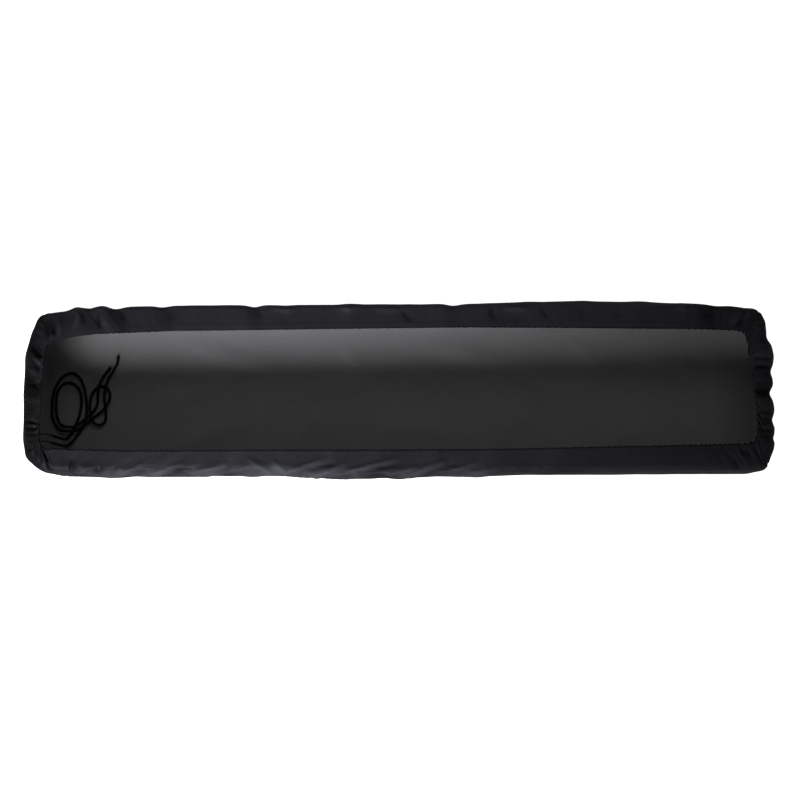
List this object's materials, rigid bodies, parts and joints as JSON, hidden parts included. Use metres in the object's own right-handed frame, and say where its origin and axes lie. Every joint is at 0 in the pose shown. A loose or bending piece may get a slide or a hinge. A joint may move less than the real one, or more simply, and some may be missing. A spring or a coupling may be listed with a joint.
{
  "type": "keyboard dust cover",
  "caption": "Long fitted stretch cloth cover for a keyboard, upside down, with side walls, a gathered inturned hem and a loosely knotted drawstring",
  "frame": {"origin": "under the middle of the top panel, on the surface that the upside-down cover lies on", "axes": "+X along the cover's length, to the picture's right; +Y across it, to the picture's upper edge; +Z from the top panel up to the hem"},
  "size_m": [1.3524, 0.3199, 0.1479],
  "materials": {
    "cover_cloth": "smooth matte black stretch weave with a faint sheen",
    "drawstring": "black braided round cord"
  },
  "bodies": {
    "root": {"cover": "cover_cloth", "drawstring_inner": "drawstring", "drawstring_outer": "drawstring"}
  },
  "joints": []
}
